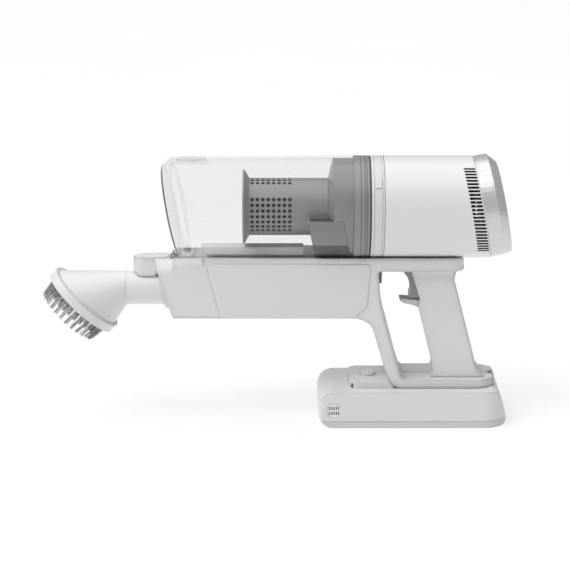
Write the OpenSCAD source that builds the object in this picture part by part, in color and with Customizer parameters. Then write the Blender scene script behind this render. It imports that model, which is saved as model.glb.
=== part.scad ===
// Cordless handheld vacuum with a clear cyclone bin, a dusting brush and a battery foot.
// Millimetres. The origin is the centre of the battery's flat base, +Z is up, the brush points
// to -X and the motor's tail to +X. The drum is the row of bin, collar rings and motor housing.

/* [Drum] */
// Height of the drum's centre line above the battery's base
drum_z = 207; // [206:0.25:209]
// Outer radius of the bin, the collar rings and the motor housing
drum_r = 48; // [47.5:0.1:48.4]
// Wall of the bin and of the motor housing
drum_wall = 2; // [1.8:0.1:2.4]
// Lean of the bin's front and of the tail ring, in degrees
lean = 10.5; // [9:0.5:11.5]
// Where the bin's sloping front crosses the centre line
bin_front = -229; // [-231:0.5:-228]
// Depth of the lid behind the sloping front
lid_depth = 13; // [12:0.5:14]
// Where the bin ends and the cyclone's collar begins
bin_back = -56.5; // [-58:0.5:-56]
// Where the tail ring's sloping front edge crosses the centre line
tail_front = 63.5; // [62:0.5:65]
// Where the tail ring's sloping rear edge crosses the centre line
tail_back = 84.5; // [83:0.5:86]
// Exhaust slots on each side of the motor housing
slot_count = 26; // [12:1:26]

/* [Cyclone] */
// Outer radius of the perforated shroud
shroud_r = 26.8; // [26:0.2:27.4]
// Outer radius of the shroud's front flange
shroud_flange_r = 34.8; // [32:0.2:36]
// Diameter of the shroud's holes
shroud_hole_d = 3.5; // [3:0.1:3.8]

/* [Frame] */
// Half width of the rail and of the suction duct's casing
rail_half = 26; // [25:0.5:27]
// Half width of the grip
grip_half = 17; // [16:0.5:18]
// Half width of the front strut and of the handle's foot
foot_half = 26; // [25.5:0.5:27]
// Wall of the frame's two halves
frame_wall = 2.4; // [2.2:0.1:2.8]

/* [Brush tool] */
// Outer radius of the tool neck, which fits the frame's socket
neck_r = 16; // [15.5:0.1:16.2]
// Height of the neck's centre line above the battery's base
neck_z = 128; // [127:0.5:129]
// Long diameter of the brush's oval mouth
mouth_long = 78; // [74:1:80]
// Short diameter of the brush's oval mouth
mouth_short = 65; // [60:1:68]
// Length of the bristle tufts
tuft_length = 19; // [15:1:22]

/* [Battery] */
// Length of the battery along X
battery_length = 180; // [179:0.5:181]
// Half width of the battery
battery_half = 38; // [37.5:0.25:38.5]
// Height of the battery's top face above its base
battery_top = 35.5; // [35.3:0.1:35.6]
// Height of the seam between the battery's case and its tray
tray_top = 6.3; // [5.5:0.1:7]

/* [Hidden] */
$fn = 96;

// Clearances: between faces that pass each other, and of a running fit
gap = 0.4;
run = 0.08;
// The drum's stations along X
collar_back = -42.2;
seal_back = -41;
ring_front = -40.7;
ring_back = -28.8;
housing_front = -28.4;
lid_seam = bin_front + lid_depth;
bin_front_r = drum_r - 1.6;
bin_inner_r = drum_r - drum_wall;
head_r = bin_inner_r - gap;
// Radius of the hollow along the rail's top that the drum lies in
cradle_r = drum_r + 1.3;
// The lid's hinge axis, in front of the lid's foot, and the pivot of the latch on the bin's top
lid_hinge = [-225.6, drum_z - 45.4];
latch_pivot = [-205, drum_z + 45.6];
// The frame's levels
rail_top = drum_z - 44;
front_top = drum_z - 48;
rail_under = 150.5;
duct_bottom = 105;
foot_bottom = 36;
foot_top = 44;
// The motor's radii and stations
spigot_r = 43;
fan_r = 26;
can_r = 22;
shaft_r = 2.5;
// The brush mouth's centre and the direction it faces, in degrees below level
mouth = [-315, 112.5];
mouth_tilt = 45.7;
// The trigger's and the release lever's hinge axes
trigger_axis = [5, 146.5];
lever_axis = [-31.5, 152.4];
// Battery ends, its cells and its release button
battery_front = -88.5;
battery_back = battery_front + battery_length;
cell_r = 9.15;
cell_pitch = 19.5;
cell_first = -62;
island_top = 42;
battery_button_x = -40.8;
// Height of the charging jack's centre line
jack_z = 13;

// ---------- shared shapes ----------

// A straight round bar along the drum's centre line
module bar(x0, x1, r0, r1 = 0) {
  translate([x0, 0, drum_z])
    rotate([0, 90, 0])
      cylinder(h = x1 - x0, r1 = r0, r2 = r1 == 0 ? r0 : r1);
}

// A straight pipe along the drum's centre line
module pipe(x0, x1, outer, inner) {
  difference() {
    bar(x0, x1, outer);
    bar(x0 - 1, x1 + 1, inner);
  }
}

// The space between two leaning planes that cross the drum's centre line at x0 and x1
module leaning_slab(x0, x1) {
  translate([0, 0, drum_z])
    rotate([0, -lean, 0])
      translate([x0 * cos(lean), -150, -150])
        cube([(x1 - x0) * cos(lean), 300, 300]);
}

// A round disc in a leaning plane, dz above the drum's centre line
module leaning_disc(x, r, dz, thick) {
  translate([x - dz * tan(lean), 0, drum_z + dz])
    rotate([0, 90 - lean, 0])
      cylinder(h = thick, r = r, $fn = 64);
}

// An outline in the XZ plane made half_width thick on each side of Y = 0
module across(half_width) {
  translate([0, half_width, 0])
    rotate([90, 0, 0])
      linear_extrude(2 * half_width)
        children();
}

// A bar across the width, centred on Y = 0 at a point in the XZ plane
module cross_bar(at, r, half_width) {
  translate([at[0], half_width, at[1]])
    rotate([90, 0, 0])
      cylinder(h = 2 * half_width, r = r);
}

// A box given by its lower and upper corners
module block(low, high) {
  translate(low)
    cube(high - low);
}

// An outline with its corners rounded to a radius
module rounded(r) {
  offset(r = r, $fn = 32)
    offset(delta = -r)
      children();
}

// ---------- the frame: rail, duct casing, strut, grip and foot ----------

module duct_outline(inset) {
  offset(delta = -inset)
    rounded(3)
      polygon([
        [-226, duct_bottom], [-244.5, rail_top + 3], [-38, rail_top + 3],
        [-33, 150], [-30, 120], [-36, 98], [-52, duct_bottom]
      ]);
}

module rail_outline(inset) {
  offset(delta = -inset)
    rounded(1.5)
      polygon([[-60, rail_under], [-60, rail_top + 3], [47.7, rail_top + 3], [47.7, rail_under]]);
}

module strut_outline() {
  rounded(1.5)
    polygon([
      [-48, 156], [-36, 156], [-34.9, 137], [-14.7, 61.5], [-10, foot_top + 2], [-6, foot_bottom],
      [-11, foot_bottom], [-15.5, 37.4], [-19, 40.6], [-22.4, 46], [-26, 55.5], [-37.9, 95.3]
    ]);
}

module grip_outline() {
  rounded(2)
    polygon([
      [-4, 156], [42, 156], [39.1, 140.4], [56.9, 73.4], [62, 52], [72, foot_bottom + 4],
      [18, foot_bottom + 4], [21, 52.2], [5.7, 112.6], [7.3, 119.7], [0.3, 142.6]
    ]);
}

// Two outlines that meet a third, with every inner corner between them filled to a radius
module blended(r) {
  offset(r = -r, $fn = 64)
    offset(delta = r)
      children();
}

module foot_side() {
  translate([-10, foot_bottom])
    square([90, foot_top - foot_bottom]);
}

// The strut from the duct casing down into the foot
module strut_blend(inset) {
  offset(delta = -inset) {
    intersection() {
      blended(14) {
        duct_outline(0);
        strut_outline();
      }
      translate([-60, 60])
        square([60, 96]);
    }
    intersection() {
      blended(6) {
        strut_outline();
        foot_side();
        rail_outline(0);
      }
      translate([-46, foot_bottom])
        square([50, 120]);
    }
  }
}

// The grip with its flares into the rail and the foot
module grip_blend(inset) {
  offset(delta = -inset)
    intersection() {
      blended(5) {
        grip_outline();
        foot_side();
        rail_outline(0);
      }
      translate([-12, foot_bottom + 1])
        square([91, 118]);
    }
}

module foot_plan(inset) {
  offset(delta = -inset)
    hull() {
      translate([-10, -foot_half])
        square([10, 2 * foot_half]);
      for (s = [-1, 1])
        translate([60, s * (foot_half - 20)])
          circle(r = 20, $fn = 64);
    }
}

// The rail's rear end is rounded in plan
module rail_plan(inset) {
  offset(delta = -inset)
    rounded(12)
      translate([-290, -rail_half])
        square([337.7, 2 * rail_half]);
}

// The small block above the tool neck that holds the nozzle button
module latch_block(inset) {
  translate([-252.5, 0, 142 + inset])
    cylinder(h = front_top - 142 - 2 * inset, r = 11 - inset);
  block([-252.5, -11 + inset, 142 + inset], [-238, 11 - inset, front_top - inset]);
}

// What is cut off the casing's top edges to round them to a radius
module shoulder(x0, x1, top, r, inset) {
  for (s = [-1, 1])
    difference() {
      translate([0, s * (rail_half - r + 40), 0])
        block([x0, -40, top - r], [x1, 40, top + 30]);
      translate([x0 - 1, s * (rail_half - r), top - r])
        rotate([0, 90, 0])
          cylinder(h = x1 - x0 + 2, r = r - inset);
    }
}

module frame_form(inset) {
  difference() {
    union() {
      across(rail_half - inset)
        duct_outline(inset);
      intersection() {
        across(rail_half - inset)
          rail_outline(inset);
        linear_extrude(200)
          rail_plan(inset);
      }
      across(foot_half - inset)
        strut_blend(inset);
      across(grip_half - inset)
        grip_blend(inset);
      translate([0, 0, foot_bottom + inset])
        linear_extrude(foot_top - foot_bottom - 2 * inset)
          foot_plan(inset);
    }
    bar(-224, 70, cradle_r + inset);
    block([-300, -60, rail_top - inset], [100, 60, rail_top + 40]);
    block([-300, -60, front_top - inset], [-224 + inset, 60, rail_top + 40]);
    shoulder(-300, -224 + inset, front_top, 15, inset);
    shoulder(-224, -196, rail_top, 10, inset);
  }
  latch_block(inset);
}

// The finger guard below the trigger
module finger_guard() {
  across(8)
    rounded(1)
      polygon([[-12, 118], [-10.4, 120.4], [-6, 118.4], [9, 118.2], [9, 110], [0, 113.2], [-8, 115]]);
}

// Everything that passes through the frame's walls
module frame_cuts() {
  // way in for the tool's neck, and the seat of the socket's collar
  translate([-266, 0, neck_z])
    rotate([0, 90, 0])
      cylinder(h = 40, r = neck_r + 0.5);
  translate([-242, 0, neck_z])
    rotate([0, 90, 0])
      cylinder(h = 46.5, r = 19.7);
  // pocket and well of the nozzle button
  nozzle_button_form(gap, -3);
  translate([-246, 0, 147])
    cylinder(h = 20, r = 4.4);
  // port under the bin
  translate([-75, 0, 140])
    cylinder(h = 30, r = 17.4);
  // slot for the release lever and its end of the rod
  block([-41, -4.5, 130], [-26, 4.5, 156.5]);
  // slot for the power trigger
  block([-20, -9, 118.8], [11.5, 9, 151.5]);
  // opening for the contact plug
  block([4, -11.3, 30], [36, 11.3, 42]);
  // seats of the side panels
  for (side = [-1, 1])
    translate([0, side * (rail_half - 1.5) - (side < 0 ? 3 : 0), 0])
      panel_block(0.1, 3);
  // well of the motor housing's rib
  block([-12.3, -9.3, 150], [34.3, 9.3, 160]);
  // slot behind the nozzle button for the lid's hinge
  block([-228.2, -9.8, 157.6], [-221, 9.8, 170]);
  // seat of the status light
  block([74.6, -4.2, 39.4], [81, 4.2, 44.4]);
  // screw holes, open on the right side
  for (at = screw_points)
    translate([0, 46.7, 0])
      cross_bar(at, 1.6, 60);
  // passage of the bin's catch
  block([-62, -3.4, 150], [-30, 3.4, 175]);
}

// Screws join the two halves at these points
screw_points = [[-205, 152.5], [-120, 108.5], [-50, 111], [47.6, 92], [44, 62], [-24, 68]];

module frame_half(side) {
  difference() {
    union() {
      difference() {
        frame_form(0);
        frame_form(frame_wall);
      }
      finger_guard();
      // screw bosses
      intersection() {
        for (at = screw_points)
          cross_bar(at, 3.4, 60);
        frame_form(0.5);
      }
      // bosses that carry the trigger's pin and the lever's pin
      for (s = [-1, 1]) {
        translate([0, s * 12.2, 0])
          cross_bar(trigger_axis, 3.4, 3);
        translate([0, s * 7.6, 0])
          cross_bar(lever_axis, 1.9, 2.9);
      }
    }
    frame_cuts();
    cross_bar(trigger_axis, 1.5, 15);
    cross_bar(lever_axis, 1, 10);
    translate([0, side > 0 ? -60.05 : -0.05, 0])
      block([-400, 0, -10], [200, 60.1, 300]);
  }
}

module body_left() {
  color("#dcdcdc")
    frame_half(-1);
}

module body_right() {
  color("#dcdcdc")
    frame_half(1);
}

// The side panels' outline, set into the duct casing
module panel_block(grow, thick) {
  translate([0, thick, 0])
    rotate([90, 0, 0])
      linear_extrude(thick)
        offset(delta = grow)
          rounded(4)
            polygon([[-193, 157], [-180, 108], [-56, 108], [-44, 118], [-41, 157]]);
}

module side_panel_left() {
  color("#d2d2d2")
    translate([0, -rail_half + 0.2, 0])
      panel_block(-0.2, 1.2);
}

module side_panel_right() {
  color("#d2d2d2")
    translate([0, rail_half - 1.4, 0])
      panel_block(-0.2, 1.2);
}

module socket_collar() {
  color("#c8c8c8")
    difference() {
      intersection() {
        translate([-250, 0, neck_z])
          rotate([0, 90, 0])
            cylinder(h = 54, r = 19.5);
        across(30)
          polygon([[-231.5, 100], [-240, 150], [-196, 150], [-196, 100]]);
      }
      translate([-251, 0, neck_z])
        rotate([0, 90, 0])
          cylinder(h = 60, r = neck_r + run);
    }
}

module suction_duct() {
  color("#b4b4b4")
    difference() {
      union() {
        translate([-195.5, 0, neck_z])
          rotate([0, 90, 0])
            cylinder(h = 120.5, r = 16);
        translate([-75, 0, neck_z])
          sphere(r = 16);
        translate([-75, 0, neck_z])
          cylinder(h = 27, r = 16);
      }
      translate([-196.5, 0, neck_z])
        rotate([0, 90, 0])
          cylinder(h = 121.5, r = 14);
      translate([-75, 0, neck_z])
        sphere(r = 14);
      translate([-75, 0, neck_z])
        cylinder(h = 40, r = 14);
    }
}

module duct_gasket() {
  color("#404040")
    translate([-75, 0, neck_z + 27.1])
      difference() {
        cylinder(h = drum_z - drum_r - neck_z - 27.5, r = 17);
        translate([0, 0, -1])
          cylinder(h = 10, r = 13);
      }
}

// ---------- motor housing and tail ----------

// A leaning row of narrow slots on each side of the housing
module exhaust_slots() {
  slot_pitch = 104 / (slot_count - 1);
  for (side = [0, 180], i = [0 : slot_count - 1]) {
    up = 59 - i * slot_pitch;
    x = tail_front - drum_r * sin(up) * tan(lean) - 11.5;
    translate([x, 0, drum_z])
      rotate([side == 0 ? -up : up, 0, 0])
        translate([0, side == 0 ? -drum_r - 4 : drum_r - 8, -1.1])
          cube([10.5, 12, 2.2]);
  }
}

module motor_housing() {
  color("#efefef")
    difference() {
      union() {
        intersection() {
          pipe(housing_front, 90, drum_r, drum_r - drum_wall);
          leaning_slab(-200, tail_front - 0.15);
        }
        // front web and the spigot that the lock ring turns on
        pipe(housing_front, housing_front + 3, drum_r - 1, 34);
        pipe(ring_front - 0.1, housing_front + 1, spigot_r, spigot_r - 2.5);
        // bulkhead that holds the motor
        pipe(-14, -11, drum_r - 1, 30);
        // rib that goes down between the frame's halves
        difference() {
          block([-12, -9, 152], [34, 9, drum_z - 30]);
          bar(-60, 60, drum_r - drum_wall);
        }
      }
      exhaust_slots();
    }
}

module tail_ring() {
  color("#c4c8cc")
    difference() {
      hull() {
        leaning_disc(tail_front, drum_r + 0.2, 0, 13);
        leaning_disc(tail_back - 2, drum_r - 4.8, 0, 2);
      }
      bar(40, 120, drum_r - 7);
    }
}

module tail_cover() {
  color("#d8d8d8")
    difference() {
      intersection() {
        bar(40, 120, drum_r - 7.3);
        leaning_slab(tail_back - 7, tail_back - 4);
      }
      rear_frame()
        cylinder(h = 20, r = 8.3, center = true);
      for (turn = [0 : 30 : 330])
        rear_frame()
          rotate([0, 0, turn])
            translate([15, -1.2, -10])
              cube([18, 2.4, 20]);
    }
}

// Places a child at the middle of the tail cover, its Z along the cover's outward normal
module rear_frame() {
  translate([tail_back - 5.5, 0, drum_z])
    rotate([0, 90 - lean, 0])
      children();
}

module mode_button() {
  color("#b8b8b8")
    rear_frame() {
      translate([0, 0, -1])
        cylinder(h = 4, r = 7.9);
      translate([0, 0, -3.2])
        cylinder(h = 1.2, r = 9.5);
      translate([0, 0, -3.2])
        cylinder(h = 3.2, r = 7.9);
    }
}

module exhaust_filter() {
  color("#f0ece0")
    pipe(36, 54, drum_r - 4, 30);
}

module fan_shroud() {
  color("#303030")
    difference() {
      bar(-22, -5, fan_r);
      bar(-20.2, -6.8, fan_r - 2);
      bar(-30, -10, 12);
      bar(-10, 0, 14);
    }
}

module motor_mount() {
  color("#282828")
    pipe(-16, -9, 29.9, fan_r + 0.1);
}

module motor_can() {
  color("#a8a8a8")
    difference() {
      bar(-4.9, 33, can_r);
      bar(-3, 31, can_r - 1.5);
      bar(-6, 40, 5.1);
    }
}

module motor_stator() {
  color("#b87838")
    pipe(3, 23, can_r - 1.7, 9.5);
}

module front_bearing() {
  color("#909090")
    pipe(-4.9, -1.4, 5, shaft_r + 0.04);
}

module rear_bearing() {
  color("#909090")
    pipe(29.4, 32.9, 5, shaft_r + 0.04);
}

module motor_shaft() {
  color("#c0c0c0")
    bar(-19, 34.5, shaft_r);
}

module rotor_magnet() {
  color("#505050")
    pipe(3, 23, 9, shaft_r + 0.02);
}

module impeller() {
  color("#d0d0d0")
    difference() {
      union() {
        bar(-9.2, -7.6, 21);
        bar(-18.5, -9.2, 5, 9);
        for (turn = [0 : 40 : 320])
          translate([-14.5, 0, drum_z])
            rotate([turn, 0, 0])
              translate([0, -0.6, 6])
                cube([6, 1.2, 14.5]);
      }
      bar(-30, 0, shaft_r + 0.02);
    }
}

module lock_ring() {
  color("#d4d4d4")
    difference() {
      union() {
        pipe(ring_front, ring_back, drum_r, spigot_r + run);
        // thumb tab
        translate([0, 0, drum_z])
          rotate([-38, 0, 0])
            block([-37.5, -drum_r - 1, -4], [-31.5, -drum_r + 2, 4]);
      }
      // shallow grooves round the ring
      for (x = [-38.4, -31])
        pipe(x, x + 0.7, drum_r + 1, drum_r - 0.5);
    }
}

// ---------- cyclone unit ----------

module cyclone_head() {
  color("#a8a8a8")
    difference() {
      union() {
        bar(-79.8, -75.5, shroud_r + 0.2, head_r);
        bar(-75.5, bin_back, head_r);
        bar(bin_back, collar_back, drum_r);
      }
      bar(-90, collar_back + 1, 22);
      bar(-54, collar_back + 1, drum_r - 5);
      // grooves round the collar
      for (x = [-50.5, -46.8, -44.8])
        pipe(x, x + 0.8, drum_r + 1, drum_r - 0.6);
      scoop_form(0.15, 0);
    }
}

// The scoop is a curved duct beside the shroud, from the bin's port up the near side
module scoop_form(grow, inset) {
  intersection() {
    pipe(-110, -50, head_r + 0.3 - inset, shroud_r + 0.4 + inset - grow);
    leaning_slab(-100 - grow + inset, -67 + grow - inset);
    union() {
      block([-110, -60, drum_z - 60], [-50, 0, drum_z - 4 + grow + 8 * inset]);
      block([-110, -1, drum_z - 60], [-50, 16 + grow - inset, drum_z - 20]);
    }
  }
}

module inlet_scoop() {
  color("#585858")
    difference() {
      intersection() {
        scoop_form(0, 0);
        bar(-110, -50, head_r);
      }
      scoop_form(0, 1.8);
      translate([-75, 0, drum_z - drum_r - 5])
        cylinder(h = 16, r = 6.5);
    }
}

module shroud() {
  // seven rows on each side, five rows on top and five below
  side_rows = [for (i = [0 : 6]) i * 11.57 - 42.6];
  end_rows = [for (i = [0 : 4]) i * 11.57 + 67];
  rows = concat(side_rows, end_rows, [for (row = concat(side_rows, end_rows)) row + 180]);
  color("#909090")
    difference() {
      union() {
        bar(-159.6, -158.2, shroud_flange_r);
        bar(-158.2, -153.5, shroud_flange_r, shroud_r);
        bar(-153.5, -80, shroud_r);
      }
      bar(-152, -70, shroud_r - 1.6);
      for (column = [0 : 7], row = rows)
        translate([-150.7 + 5 * column, 0, drum_z])
          rotate([-row, 0, 0])
            translate([0, -shroud_r + 3, 0])
              rotate([90, 0, 0])
                cylinder(h = 5, d = shroud_hole_d, $fn = 24);
    }
}

module shroud_mesh() {
  color("#c0c0c0")
    pipe(-151.5, -82, shroud_r - 1.9, shroud_r - 2.3);
}

module pre_filter() {
  color("#f4f4f4")
    difference() {
      bar(-84, -43, 21.6);
      bar(-78, -40, 15);
    }
}

module head_seal() {
  color("#202020")
    pipe(collar_back + 0.05, seal_back, drum_r - 0.5, spigot_r + 1);
}

// ---------- dust bin and lid ----------

module bin_form(r_change) {
  bar(-270, bin_back - 0.2, bin_front_r - r_change, drum_r - r_change);
}

module dust_bin() {
  color("#e4e8ec", 0.4)
    difference() {
      union() {
        intersection() {
          difference() {
            bin_form(0);
            bin_form(drum_wall);
          }
          leaning_slab(lid_seam + 0.2, 200);
        }
        // tongue under the lid, with the middle knuckle of its hinge
        cross_bar(lid_hinge, 2.1, 4.6);
        across(4.6)
          polygon([
            lid_hinge + [-1.9, 0], lid_hinge + [-1.9, -3.5], [-195, lid_hinge[1] - 3.5], [-195, 161],
            [-204, 161], [-206, lid_hinge[1] - 1.9], lid_hinge + [1.9, -1.9], lid_hinge + [1.9, 0]
          ]);
        // boss round the latch's pocket
        intersection() {
          block([-222, -9.5, drum_z + 42.4], [-191, 9.5, drum_z + 50]);
          bin_form(0);
        }
      }
      cross_bar(lid_hinge, 1.04, 9);
      translate([-75, 0, drum_z - drum_r - 4])
        cylinder(h = 16, r = 7);
      // the latch's pocket and the bores of its trunnions
      block([-225, -6.5, drum_z + 43.8], [-192.5, 6.5, drum_z + 50]);
      cross_bar(latch_pivot, 1.28, 8.4);
    }
}

module bin_runner() {
  color("#d8d8d8", 0.6)
    difference() {
      intersection() {
        bin_form(drum_wall + 0.05);
        across(8)
          polygon([[-193, 155], [-199, 169.5], [-103, 169.5], [-103, 155]]);
      }
      across(6)
        polygon([[-190, 150], [-190, 167.5], [-105, 167.5], [-105, 150]]);
    }
}

module lid_pin() {
  color("#b0b0b0")
    cross_bar(lid_hinge, 1, 9);
}

// A rocker on the bin's top whose nose reaches over the lid's edge
module lid_latch() {
  color("#c0c0c0")
    union() {
      across(6.1)
        polygon([
          latch_pivot + [-16.5, -0.4], latch_pivot + [-16.5, 0.8], latch_pivot + [0, 1.6],
          latch_pivot + [11, 1.6], latch_pivot + [11, 0.4], latch_pivot + [1, -1.2],
          latch_pivot + [-2, -1.2]
        ]);
      cross_bar(latch_pivot, 1.2, 8.2);
    }
}

// The lid's hollow, made smaller all round by shrink
module lid_cavity(shrink) {
  hull() {
    leaning_disc(bin_front + 2.4, 41.4 - shrink, -3.4, 2);
    leaning_disc(lid_seam - 1, 44.2 - shrink, 0, 3);
  }
}

module bin_lid() {
  color("#e4e8ec", 0.4)
    difference() {
      union() {
        difference() {
          hull() {
            leaning_disc(bin_front, 43.6, -3.4, 2);
            leaning_disc(lid_seam - 1, 46.2, 0, 1);
          }
          lid_cavity(0);
          // room for the foot of the lid to swing past the bin's edge
          block([lid_hinge[0] + 16, -30, 150], [-190, 30, 165]);
        }
        // outer knuckles of the hinge
        for (s = [-1, 1])
          translate([0, s * 7, 0]) {
            cross_bar(lid_hinge, 2.1, 2);
            across(2)
              translate(lid_hinge - [0, 1.5])
                square([6, 3]);
          }
      }
      cross_bar(lid_hinge, 1.04, 20);
    }
}

module lid_seal() {
  color("#383838")
    intersection() {
      difference() {
        lid_cavity(0.1);
        lid_cavity(1.8);
      }
      leaning_slab(lid_seam - 5, lid_seam - 1.2);
      block([-300, -60, 165.2], [-200, 60, 300]);
    }
}

// ---------- trigger, lever and buttons ----------

module power_trigger() {
  color("#a0a0a0")
    difference() {
      across(8.6)
        rounded(1)
          polygon([
            [-8.8, 146], [-4.6, 140.5], [-2.1, 133.5], [-1.7, 127], [-3.4, 120.6],
            [6.4, 119.6], [8.5, 132], [8.5, 144], [6, 149.8], [-2, 149.8]
          ]);
      cross_bar(trigger_axis, 1.54, 20);
      // hollow for the return spring
      cross_bar(trigger_axis, 3.4, 3);
    }
}

module trigger_pin() {
  color("#b8b8b8")
    cross_bar(trigger_axis, 1.5, 15);
}

module trigger_spring() {
  color("#8c8c8c")
    difference() {
      cross_bar(trigger_axis, 2.9, 2.6);
      cross_bar(trigger_axis, 1.7, 4);
    }
}

module trigger_switch() {
  color("#282828")
    block([12.2, -5, 122], [21, 5, 137]);
}

module release_lever() {
  color("#808080")
    difference() {
      across(4)
        rounded(1)
          polygon([
            [-35.5, 149], [-35.2, 140], [-33.6, 133.2], [-28.6, 133.2], [-28.2, 149],
            [-29.4, 156.2], [-33.6, 156.2]
          ]);
      cross_bar(lever_axis, 1.04, 8);
    }
}

module lever_pin() {
  color("#b8b8b8")
    cross_bar(lever_axis, 1, 10);
}

// The lever slides this hook back from under the cyclone's collar
module bin_catch() {
  color("#9a9a9a")
    across(3)
      polygon([
        [-56, 154.2], [-56, 156.8], [-54, 157.5], [-50, 157.5], [-50, 156.6],
        [-34.2, 156.6], [-34.2, 154.2]
      ]);
}

module nozzle_button_form(grow, low) {
  for (x = [-255.5, -236.5])
    translate([x, 0, front_top - 4.6 + low])
      cylinder(h = 5.2 - low, r = 7 + grow);
  block([-255.5, -7 - grow, front_top - 4.6 + low], [-236.5, 7 + grow, front_top + 0.6]);
}

module nozzle_button() {
  color("#d6d6d6")
    nozzle_button_form(0, 0);
}

// Closed coil shown as a thin sleeve
module coil_sleeve(x, z0, z1, r) {
  translate([x, 0, z0])
    difference() {
      cylinder(h = z1 - z0, r = r);
      translate([0, 0, -1])
        cylinder(h = z1 - z0 + 2, r = r - 0.7);
    }
}

module nozzle_button_spring() {
  color("#8c8c8c")
    coil_sleeve(-246, 147.2, 154.3, 4);
}

// ---------- brush tool ----------

// Places children at the mouth's centre, with +Z the way the bristles point and X along the oval
module at_mouth() {
  translate([mouth[0], 0, mouth[1]])
    rotate([0, -90 - mouth_tilt, 0])
      children();
}

// An oval disc in the plane of the brush's mouth, back from the rim by depth
module oval(depth, long, short, thick) {
  at_mouth()
    translate([0, 0, -depth])
      linear_extrude(thick)
        scale([long / short, 1])
          circle(d = short, $fn = 48);
}

module brush_body() {
  color("#dedede")
    difference() {
      union() {
        translate([-272, 0, neck_z])
          rotate([0, 90, 0])
            cylinder(h = 72, r = neck_r);
        hull() {
          oval(9, mouth_long - 6, mouth_short - 6, 4);
          translate([-276, 0, neck_z])
            rotate([0, 90, 0])
              cylinder(h = 5.5, r = neck_r + 0.3, $fn = 48);
        }
        oval(9.5, mouth_long, mouth_short, 9);
      }
      translate([-275, 0, neck_z])
        rotate([0, 90, 0])
          cylinder(h = 80, r = neck_r - 2.2);
      hull() {
        oval(9, mouth_long - 11, mouth_short - 11, 12);
        translate([-275, 0, neck_z])
          rotate([0, 90, 0])
            cylinder(h = 2, r = neck_r - 2.2, $fn = 48);
      }
      oval(4, mouth_long - 4, mouth_short - 4, 9);
    }
}

module bristle_plate() {
  color("#c8c8c8")
    difference() {
      oval(3.9, mouth_long - 4.6, mouth_short - 4.6, 3);
      oval(5, mouth_long - 24, mouth_short - 24, 6);
    }
}

// One tuft stands on the plate at an angle round the oval
module tuft(turn, scale_in, r) {
  a = (mouth_long / 2 - 6) * scale_in;
  b = (mouth_short / 2 - 6) * scale_in;
  at_mouth()
    translate([a * cos(turn), b * sin(turn), -0.85])
      cylinder(h = tuft_length, r = r, $fn = 8);
}

module bristles() {
  color("#888888") {
    for (i = [0 : 31])
      tuft(i * 11.25, 1, 1.5);
    for (i = [0 : 25])
      tuft(i * 13.85 + 5, 0.8, 1.5);
  }
}

// ---------- battery ----------

module battery_side(inset) {
  offset(delta = -inset) {
    // the front end is a large round, the back end leans forward
    hull() {
      translate([battery_front + 15, 15])
        circle(r = 15, $fn = 64);
      translate([battery_front + 15, battery_top - 15])
        circle(r = 15, $fn = 64);
      translate([battery_back - 4, 4])
        circle(r = 4, $fn = 32);
      translate([battery_back - 16, battery_top - 10])
        circle(r = 10, $fn = 48);
    }
  }
}

module battery_plan(inset) {
  offset(delta = -inset)
    hull() {
      for (s = [-1, 1]) {
        translate([battery_front + 5, s * (battery_half - 5)])
          circle(r = 5, $fn = 32);
        translate([battery_back - 24, s * (battery_half - 24)])
          circle(r = 24, $fn = 48);
      }
    }
}

module battery_form(inset) {
  intersection() {
    across(60)
      battery_side(inset);
    translate([0, 0, -5])
      linear_extrude(60)
        battery_plan(inset);
  }
}

// The raised tongue in front of the strut
module island(inset) {
  intersection() {
    across(25.5 - inset)
      polygon([
        [-59 + inset, 30], [-59 + inset, island_top - inset], [-21 - inset, island_top - inset],
        [-17 - inset, 37.6], [-17 - inset, 30]
      ]);
    translate([0, 0, 20])
      linear_extrude(40)
        rounded(9)
          polygon([[-59, -25.5], [10, -25.5], [10, 25.5], [-59, 25.5]]);
  }
}

module battery_case() {
  color("#d0d0d0")
    difference() {
      union() {
        battery_form(0);
        island(0);
      }
      battery_form(2.2);
      island(2.2);
      block([-200, -60, -1], [200, 60, tray_top]);
      // wells of the button, the plug, the vents and the jack
      translate([battery_button_x, 0, 20])
        cylinder(h = 40, r = 7.2);
      block([3.2, -12.2, 20], [36.8, 12.2, 50]);
      for (s = [-1, 1])
        translate([0, s * battery_half, 0])
          cross_bar([-74, 17.3], 6.3, 1.6);
      translate([70, 0, jack_z])
        rotate([0, 90, 0])
          cylinder(h = 40, r = 4.2);
    }
}

module battery_tray() {
  color("#c6c6c6")
    difference() {
      battery_form(0);
      battery_form(2.2);
      block([-200, -60, tray_top - 0.15], [200, 60, 60]);
    }
}

module battery_cells() {
  color("#3a6ea5")
    for (i = [0 : 5])
      cross_bar([cell_first + i * cell_pitch, cell_r + 2.6], cell_r, 32.5);
}

module cell_links() {
  color("#b8b8b8")
    for (i = [0 : 2], s = [-1, 1])
      translate([0, s * 32.8, 0])
        across(0.25)
          translate([cell_first + i * 2 * cell_pitch - 4, cell_r - 1])
            square([cell_pitch + 8, 7]);
}

module battery_board() {
  color("#2f6b3a")
    block([-72, -30, 23.4], [0, 30, 25]);
}

module battery_socket() {
  color("#303030")
    difference() {
      block([3.4, -12, 22.6], [36.6, 12, battery_top - 0.2]);
      block([5.4, -10.6, 26], [34.6, 10.6, 50]);
    }
}

module terminal_plug() {
  color("#303030") {
    block([6, -10, 27], [34, 10, 37.4]);
    block([4.2, -11.1, 37.4], [35.8, 11.1, 41.4]);
  }
}

module vent_grilles() {
  color("#f0f0f0")
    for (s = [-1, 1])
      translate([0, s * (battery_half - 0.75), 0])
        difference() {
          cross_bar([-74, 17.3], 6.2, 0.75);
          for (x = [-4.4 : 1.76 : 4.5], up = [-1, 1])
            translate([x - 74, 0, 17.3 + up * 2.4])
              cube([0.9, 5, 3.6], center = true);
        }
}

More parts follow.
